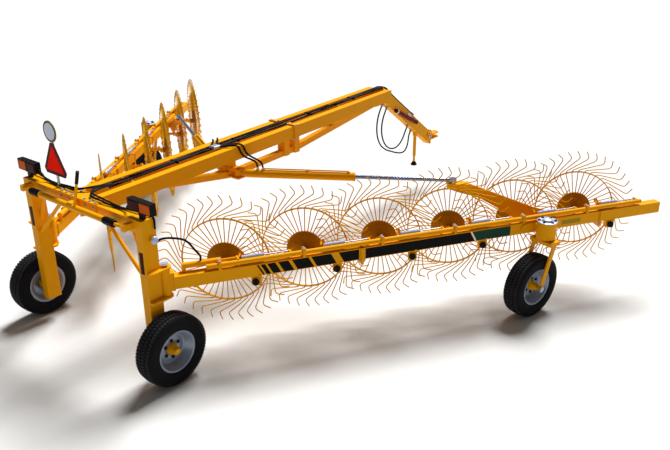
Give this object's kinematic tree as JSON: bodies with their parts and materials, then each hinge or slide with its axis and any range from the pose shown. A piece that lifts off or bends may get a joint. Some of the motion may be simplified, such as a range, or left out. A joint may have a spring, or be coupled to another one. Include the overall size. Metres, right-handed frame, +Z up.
{
  "type": "bi-fold wheel rake",
  "caption": "Towed bi-fold hay rake with tined wheels on two folding arms, a high tongue, a rear arch on road wheels and front casters.",
  "frame": {"origin": "on the ground, under the middle of the bounding box", "axes": "+Y the way it is towed, +X its right side, +Z up"},
  "size_m": [8.2158, 6.91, 2.3124],
  "materials": {
    "yellow_paint": "gloss",
    "tyre_rubber": "matt",
    "rim_silver": "satin",
    "chrome_rod": "polished",
    "black_parts": "matt",
    "sign_red": "reflective",
    "manual_maroon": "gloss"
  },
  "bodies": {
    "frame": {"tongue": "yellow_paint", "cross_sleeve": "yellow_paint", "drawbar": "yellow_paint", "hitch": "yellow_paint", "manual_tube": "manual_maroon", "sign_board": "sign_red", "width_screw": "yellow_paint", "tongue_hoses": "black_parts", "front_hose_1": "black_parts", "front_hose_2": "black_parts", "lamps": "black_parts", "right_leg": "yellow_paint", "left_leg": "yellow_paint"},
    "jack": {"jack_leg": "black_parts"},
    "right_road_wheel": {"right_tyre": "tyre_rubber", "right_rim": "rim_silver"},
    "right_arm": {"right_beam": "yellow_paint", "right_fold_bracket": "yellow_paint", "right_lift_cylinder": "yellow_paint"},
    "right_fold_cylinder": {"right_fold_barrel": "yellow_paint"},
    "right_fold_piston": {"right_fold_rod": "chrome_rod"},
    "right_lift": {"right_lift_pipe": "yellow_paint"},
    "right_crank_1": {"right_crank_1": "yellow_paint"},
    "right_rake_wheel_1": {"right_rake_wheel_1": "yellow_paint"},
    "right_crank_2": {"right_crank_2": "yellow_paint"},
    "right_rake_wheel_2": {"right_rake_wheel_2": "yellow_paint"},
    "right_crank_3": {"right_crank_3": "yellow_paint"},
    "right_rake_wheel_3": {"right_rake_wheel_3": "yellow_paint"},
    "right_crank_4": {"right_crank_4": "yellow_paint"},
    "right_rake_wheel_4": {"right_rake_wheel_4": "yellow_paint"},
    "right_crank_5": {"right_crank_5": "yellow_paint"},
    "right_rake_wheel_5": {"right_rake_wheel_5": "yellow_paint"},
    "right_crank_6": {"right_crank_6": "yellow_paint"},
    "right_rake_wheel_6": {"right_rake_wheel_6": "yellow_paint"},
    "right_caster": {"right_caster_fork": "yellow_paint"},
    "right_caster_wheel": {"right_caster_tyre": "tyre_rubber", "right_caster_rim": "rim_silver"},
    "left_road_wheel": {"left_tyre": "tyre_rubber", "left_rim": "rim_silver"},
    "left_arm": {"left_beam": "yellow_paint", "left_fold_bracket": "yellow_paint", "left_lift_cylinder": "yellow_paint"},
    "left_fold_cylinder": {"left_fold_barrel": "yellow_paint"},
    "left_fold_piston": {"left_fold_rod": "chrome_rod"},
    "left_lift": {"left_lift_pipe": "yellow_paint"},
    "left_crank_1": {"left_crank_1": "yellow_paint"},
    "left_rake_wheel_1": {"left_rake_wheel_1": "yellow_paint"},
    "left_crank_2": {"left_crank_2": "yellow_paint"},
    "left_rake_wheel_2": {"left_rake_wheel_2": "yellow_paint"},
    "left_crank_3": {"left_crank_3": "yellow_paint"},
    "left_rake_wheel_3": {"left_rake_wheel_3": "yellow_paint"},
    "left_crank_4": {"left_crank_4": "yellow_paint"},
    "left_rake_wheel_4": {"left_rake_wheel_4": "yellow_paint"},
    "left_crank_5": {"left_crank_5": "yellow_paint"},
    "left_rake_wheel_5": {"left_rake_wheel_5": "yellow_paint"},
    "left_crank_6": {"left_crank_6": "yellow_paint"},
    "left_rake_wheel_6": {"left_rake_wheel_6": "yellow_paint"},
    "left_caster": {"left_caster_fork": "yellow_paint"},
    "left_caster_wheel": {"left_caster_tyre": "tyre_rubber", "left_caster_rim": "rim_silver"}
  },
  "joints": [
    {"name": "jack_slide", "type": "slide", "parent": "frame", "child": "jack", "axis": [0, 0, -1], "range_m": [0, 0.41]},
    {"name": "right_road_wheel_spin", "type": "hinge", "parent": "frame", "child": "right_road_wheel", "pos_m": [1.21392, -3.095, 0.36], "axis": [1, 0, 0], "continuous": true},
    {"name": "right_arm_fold", "type": "hinge", "parent": "frame", "child": "right_arm", "pos_m": [1.07542, -2.981, 0.98], "axis": [0, 0, 1], "range_deg": [0, 31.7]},
    {"name": "right_fold_barrel_turn", "type": "hinge", "parent": "frame", "child": "right_fold_cylinder", "pos_m": [0.26392, -1.215, 1.39], "axis": [0, 0, 1], "range_deg": [-1, 48.96]},
    {"name": "right_fold_rod_slide", "type": "slide", "parent": "right_fold_cylinder", "child": "right_fold_piston", "axis": [-0.843, -0.538, 0], "range_m": [-0.005, 0.916]},
    {"name": "right_lift_slide", "type": "slide", "parent": "right_arm", "child": "right_lift", "axis": [-0.5255, -0.8508, 0], "range_m": [0, 0.14]},
    {"name": "right_crank_drop_1", "type": "hinge", "parent": "right_arm", "child": "right_crank_1", "pos_m": [1.50008, -2.20616, 0.85], "axis": [0.5693, -0.8221, 0], "range_deg": [-0.5, 35.57]},
    {"name": "right_rake_spin_1", "type": "hinge", "parent": "right_crank_1", "child": "right_rake_wheel_1", "pos_m": [1.09692, -2.24206, 0.926], "axis": [0.5693, -0.8221, 0], "continuous": true},
    {"name": "right_crank_drop_2", "type": "hinge", "parent": "right_arm", "child": "right_crank_2", "pos_m": [1.93779, -1.49744, 0.85], "axis": [0.5693, -0.8221, 0], "range_deg": [-0.5, 35.57]},
    {"name": "right_rake_spin_2", "type": "hinge", "parent": "right_crank_2", "child": "right_rake_wheel_2", "pos_m": [1.53464, -1.53333, 0.926], "axis": [0.5693, -0.8221, 0], "continuous": true},
    {"name": "right_crank_drop_3", "type": "hinge", "parent": "right_arm", "child": "right_crank_3", "pos_m": [2.37551, -0.78871, 0.85], "axis": [0.5693, -0.8221, 0], "range_deg": [-0.5, 35.57]},
    {"name": "right_rake_spin_3", "type": "hinge", "parent": "right_crank_3", "child": "right_rake_wheel_3", "pos_m": [1.97236, -0.82461, 0.926], "axis": [0.5693, -0.8221, 0], "continuous": true},
    {"name": "right_crank_drop_4", "type": "hinge", "parent": "right_arm", "child": "right_crank_4", "pos_m": [2.81323, -0.07999, 0.85], "axis": [0.5693, -0.8221, 0], "range_deg": [-0.5, 35.57]},
    {"name": "right_rake_spin_4", "type": "hinge", "parent": "right_crank_4", "child": "right_rake_wheel_4", "pos_m": [2.41007, -0.11588, 0.926], "axis": [0.5693, -0.8221, 0], "continuous": true},
    {"name": "right_crank_drop_5", "type": "hinge", "parent": "right_arm", "child": "right_crank_5", "pos_m": [3.25095, 0.62874, 0.85], "axis": [0.5693, -0.8221, 0], "range_deg": [-0.5, 35.57]},
    {"name": "right_rake_spin_5", "type": "hinge", "parent": "right_crank_5", "child": "right_rake_wheel_5", "pos_m": [2.84779, 0.59285, 0.926], "axis": [0.5693, -0.8221, 0], "continuous": true},
    {"name": "right_crank_drop_6", "type": "hinge", "parent": "right_arm", "child": "right_crank_6", "pos_m": [3.68866, 1.33746, 0.85], "axis": [0.5693, -0.8221, 0], "range_deg": [-0.5, 35.57]},
    {"name": "right_rake_spin_6", "type": "hinge", "parent": "right_crank_6", "child": "right_rake_wheel_6", "pos_m": [3.28551, 1.30157, 0.926], "axis": [0.5693, -0.8221, 0], "continuous": true},
    {"name": "right_caster_swivel", "type": "hinge", "parent": "right_arm", "child": "right_caster", "pos_m": [3.34977, 0.36274, 0.98], "axis": [0, 0, 1], "range_deg": [-28, 170]},
    {"name": "right_caster_spin", "type": "hinge", "parent": "right_caster", "child": "right_caster_wheel", "pos_m": [3.30845, 0.203, 0.36], "axis": [0.9681, -0.2504, 0], "continuous": true},
    {"name": "left_road_wheel_spin", "type": "hinge", "parent": "frame", "child": "left_road_wheel", "pos_m": [-0.96608, -3.095, 0.36], "axis": [1, 0, 0], "continuous": true},
    {"name": "left_arm_fold", "type": "hinge", "parent": "frame", "child": "left_arm", "pos_m": [-0.82758, -2.981, 0.98], "axis": [0, 0, -1], "range_deg": [0, 34.7]},
    {"name": "left_fold_barrel_turn", "type": "hinge", "parent": "frame", "child": "left_fold_cylinder", "pos_m": [-0.01608, -1.215, 1.39], "axis": [0, 0, -1], "range_deg": [-1, 52.22]},
    {"name": "left_fold_rod_slide", "type": "slide", "parent": "left_fold_cylinder", "child": "left_fold_piston", "axis": [0.8721, -0.4892, 0], "range_m": [-0.005, 1.0171]},
    {"name": "left_lift_slide", "type": "slide", "parent": "left_arm", "child": "left_lift", "axis": [0.5693, -0.8221, 0], "range_m": [0, 0.14]},
    {"name": "left_crank_drop_1", "type": "hinge", "parent": "left_arm", "child": "left_crank_1", "pos_m": [-1.29221, -2.22945, 0.85], "axis": [0.5255, 0.8508, 0], "range_deg": [-0.5, 35.57]},
    {"name": "left_rake_spin_1", "type": "hinge", "parent": "left_crank_1", "child": "left_rake_wheel_1", "pos_m": [-0.88773, -2.24419, 0.926], "axis": [0.5255, 0.8508, 0], "continuous": true},
    {"name": "left_crank_drop_2", "type": "hinge", "parent": "left_arm", "child": "left_crank_2", "pos_m": [-1.76642, -1.54461, 0.85], "axis": [0.5255, 0.8508, 0], "range_deg": [-0.5, 35.57]},
    {"name": "left_rake_spin_2", "type": "hinge", "parent": "left_crank_2", "child": "left_rake_wheel_2", "pos_m": [-1.36194, -1.55935, 0.926], "axis": [0.5255, 0.8508, 0], "continuous": true},
    {"name": "left_crank_drop_3", "type": "hinge", "parent": "left_arm", "child": "left_crank_3", "pos_m": [-2.24063, -0.85976, 0.85], "axis": [0.5255, 0.8508, 0], "range_deg": [-0.5, 35.57]},
    {"name": "left_rake_spin_3", "type": "hinge", "parent": "left_crank_3", "child": "left_rake_wheel_3", "pos_m": [-1.83615, -0.8745, 0.926], "axis": [0.5255, 0.8508, 0], "continuous": true},
    {"name": "left_crank_drop_4", "type": "hinge", "parent": "left_arm", "child": "left_crank_4", "pos_m": [-2.71484, -0.17491, 0.85], "axis": [0.5255, 0.8508, 0], "range_deg": [-0.5, 35.57]},
    {"name": "left_rake_spin_4", "type": "hinge", "parent": "left_crank_4", "child": "left_rake_wheel_4", "pos_m": [-2.31036, -0.18966, 0.926], "axis": [0.5255, 0.8508, 0], "continuous": true},
    {"name": "left_crank_drop_5", "type": "hinge", "parent": "left_arm", "child": "left_crank_5", "pos_m": [-3.18905, 0.50993, 0.85], "axis": [0.5255, 0.8508, 0], "range_deg": [-0.5, 35.57]},
    {"name": "left_rake_spin_5", "type": "hinge", "parent": "left_crank_5", "child": "left_rake_wheel_5", "pos_m": [-2.78457, 0.49519, 0.926], "axis": [0.5255, 0.8508, 0], "continuous": true},
    {"name": "left_crank_drop_6", "type": "hinge", "parent": "left_arm", "child": "left_crank_6", "pos_m": [-3.66326, 1.19478, 0.85], "axis": [0.5255, 0.8508, 0], "range_deg": [-0.5, 35.57]},
    {"name": "left_rake_spin_6", "type": "hinge", "parent": "left_crank_6", "child": "left_rake_wheel_6", "pos_m": [-3.25878, 1.18004, 0.926], "axis": [0.5255, 0.8508, 0], "continuous": true},
    {"name": "left_caster_swivel", "type": "hinge", "parent": "left_arm", "child": "left_caster", "pos_m": [-3.27381, 0.23913, 0.98], "axis": [0, 0, -1], "range_deg": [-28, 170]},
    {"name": "left_caster_spin", "type": "hinge", "parent": "left_caster", "child": "left_caster_wheel", "pos_m": [-3.2242, 0.08177, 0.36], "axis": [0.9537, 0.3007, 0], "continuous": true}
  ],
  "couplings": [
    {"joint": "right_fold_barrel_turn", "follows": "right_arm_fold", "ratio": 1.513},
    {"joint": "right_fold_rod_slide", "follows": "right_arm_fold", "m_per_rad": 1.6465},
    {"joint": "right_crank_drop_1", "follows": "right_lift_slide", "rad_per_m": 4.3724},
    {"joint": "right_crank_drop_2", "follows": "right_lift_slide", "rad_per_m": 4.3724},
    {"joint": "right_crank_drop_3", "follows": "right_lift_slide", "rad_per_m": 4.3724},
    {"joint": "right_crank_drop_4", "follows": "right_lift_slide", "rad_per_m": 4.3724},
    {"joint": "right_crank_drop_5", "follows": "right_lift_slide", "rad_per_m": 4.3724},
    {"joint": "right_crank_drop_6", "follows": "right_lift_slide", "rad_per_m": 4.3724},
    {"joint": "left_fold_barrel_turn", "follows": "left_arm_fold", "ratio": 1.476},
    {"joint": "left_fold_rod_slide", "follows": "left_arm_fold", "m_per_rad": 1.6712},
    {"joint": "left_crank_drop_1", "follows": "left_lift_slide", "rad_per_m": 4.3724},
    {"joint": "left_crank_drop_2", "follows": "left_lift_slide", "rad_per_m": 4.3724},
    {"joint": "left_crank_drop_3", "follows": "left_lift_slide", "rad_per_m": 4.3724},
    {"joint": "left_crank_drop_4", "follows": "left_lift_slide", "rad_per_m": 4.3724},
    {"joint": "left_crank_drop_5", "follows": "left_lift_slide", "rad_per_m": 4.3724},
    {"joint": "left_crank_drop_6", "follows": "left_lift_slide", "rad_per_m": 4.3724}
  ]
}
